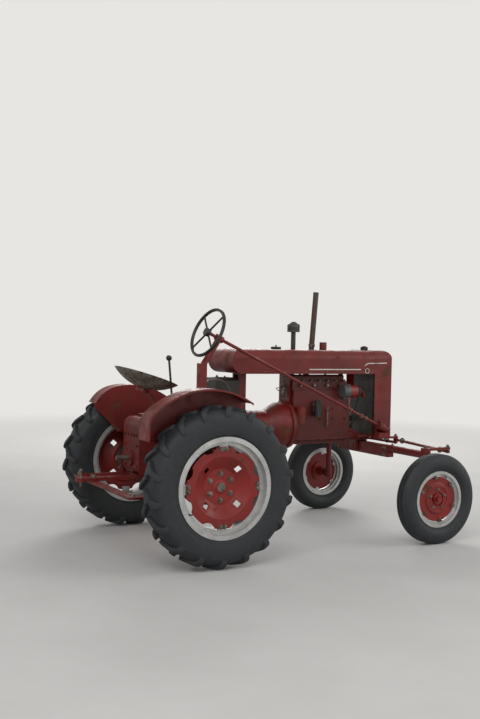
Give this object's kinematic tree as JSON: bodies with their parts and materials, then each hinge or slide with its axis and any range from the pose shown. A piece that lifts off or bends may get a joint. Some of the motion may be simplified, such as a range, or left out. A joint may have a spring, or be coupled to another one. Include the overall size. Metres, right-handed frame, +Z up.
{
  "type": "farm tractor",
  "caption": "Small vintage row-crop tractor with an offset engine, tall high-clearance wheels, steered front axle, open pan seat and rear drawbar.",
  "frame": {"origin": "on the ground, below the middle of the bounding box", "axes": "+X forward, +Y to the tractor's left, +Z up"},
  "size_m": [2.7629, 1.774, 1.8656],
  "materials": {
    "red_paint": "weathered gloss",
    "shaft_paint": "worn gloss over steel",
    "bare_iron": "dusty",
    "rim_silver": "satin silver paint",
    "tyre_rubber": "dusty",
    "belt_rubber": "matte",
    "black_paint": "satin",
    "wheel_black": "satin",
    "seat_steel": "worn to bright steel at the rim"
  },
  "bodies": {
    "chassis": {"transmission_case": "red_paint", "torque_tube": "red_paint", "final_drives": "red_paint", "pto_stub": "bare_iron", "drawbar": "red_paint", "engine_block": "red_paint", "cylinder_head": "red_paint", "manifold": "bare_iron", "exhaust_pipe": "black_paint", "air_cleaner": "bare_iron", "generator": "bare_iron", "oil_filter": "red_paint", "ignition_unit": "black_paint", "fan_belt": "belt_rubber", "radiator": "black_paint", "hood": "red_paint", "fuel_tank": "red_paint", "grille": "red_paint", "filler_caps": "black_paint", "front_bolster": "red_paint", "front_axle": "red_paint", "steering_post": "red_paint", "seat": "seat_steel", "seat_spring": "red_paint", "platform": "red_paint", "fenders": "red_paint", "driver_controls": "shaft_paint", "tank_support": "red_paint", "battery_box": "black_paint"},
    "rear_wheel_right": {"rear_axle_right": "shaft_paint", "rear_disc_right": "red_paint", "rear_rim_right": "rim_silver", "rear_tyre_right": "tyre_rubber"},
    "knuckle_right": {"knuckle_right": "shaft_paint"},
    "front_wheel_right": {"front_disc_right": "red_paint", "front_rim_right": "rim_silver", "front_tyre_right": "tyre_rubber"},
    "tie_rod_right": {"tie_rod_right": "shaft_paint"},
    "rear_wheel_left": {"rear_axle_left": "shaft_paint", "rear_disc_left": "red_paint", "rear_rim_left": "rim_silver", "rear_tyre_left": "tyre_rubber"},
    "knuckle_left": {"knuckle_left": "shaft_paint"},
    "front_wheel_left": {"front_disc_left": "red_paint", "front_rim_left": "rim_silver", "front_tyre_left": "tyre_rubber"},
    "tie_rod_left": {"tie_rod_left": "shaft_paint"},
    "pitman": {"pitman_arm": "shaft_paint"},
    "steering_column": {"steering_shaft": "shaft_paint", "steering_wheel": "wheel_black"},
    "fan": {"fan": "bare_iron"}
  },
  "joints": [
    {"name": "rear_wheel_right_spin", "type": "hinge", "parent": "chassis", "child": "rear_wheel_right", "pos_m": [-0.7525, -0.772, 0.525], "axis": [0, 1, 0], "continuous": true},
    {"name": "rear_wheel_left_spin", "type": "hinge", "parent": "chassis", "child": "rear_wheel_left", "pos_m": [-0.7525, 0.772, 0.525], "axis": [0, 1, 0], "continuous": true},
    {"name": "steer_right", "type": "hinge", "parent": "chassis", "child": "knuckle_right", "pos_m": [1.0505, -0.64, 0.634], "axis": [0, 0, 1], "range_deg": [-40, 40]},
    {"name": "steer_left", "type": "hinge", "parent": "chassis", "child": "knuckle_left", "pos_m": [1.0505, 0.64, 0.634], "axis": [0, 0, 1], "range_deg": [-40, 40]},
    {"name": "front_wheel_right_spin", "type": "hinge", "parent": "knuckle_right", "child": "front_wheel_right", "pos_m": [1.0505, -0.766, 0.331], "axis": [0, 1, 0], "continuous": true},
    {"name": "front_wheel_left_spin", "type": "hinge", "parent": "knuckle_left", "child": "front_wheel_left", "pos_m": [1.0505, 0.766, 0.331], "axis": [0, 1, 0], "continuous": true},
    {"name": "pitman_swing", "type": "hinge", "parent": "chassis", "child": "pitman", "pos_m": [1.11, 0.07, 0.69], "axis": [0, 0, 1], "range_deg": [-40, 40]},
    {"name": "tie_rod_right_pivot", "type": "hinge", "parent": "pitman", "child": "tie_rod_right", "pos_m": [1.325, 0.07, 0.67], "axis": [0, 0, 1], "range_deg": [-40, 40]},
    {"name": "tie_rod_left_pivot", "type": "hinge", "parent": "pitman", "child": "tie_rod_left", "pos_m": [1.325, 0.07, 0.648], "axis": [0, 0, 1], "range_deg": [-40, 40]},
    {"name": "steering_turn", "type": "hinge", "parent": "chassis", "child": "steering_column", "pos_m": [-0.5645, -0.215, 1.513], "axis": [-0.9124, -0.1008, 0.3967], "range_deg": [-400, 400]},
    {"name": "fan_spin", "type": "hinge", "parent": "chassis", "child": "fan", "pos_m": [0.958, 0.215, 1.06], "axis": [1, 0, 0], "continuous": true}
  ],
  "couplings": [
    {"joint": "steer_left", "follows": "steer_right", "ratio": 1},
    {"joint": "pitman_swing", "follows": "steer_right", "ratio": 1},
    {"joint": "tie_rod_right_pivot", "follows": "steer_right", "ratio": -1},
    {"joint": "tie_rod_left_pivot", "follows": "steer_right", "ratio": -1},
    {"joint": "steering_turn", "follows": "steer_right", "ratio": 10}
  ]
}
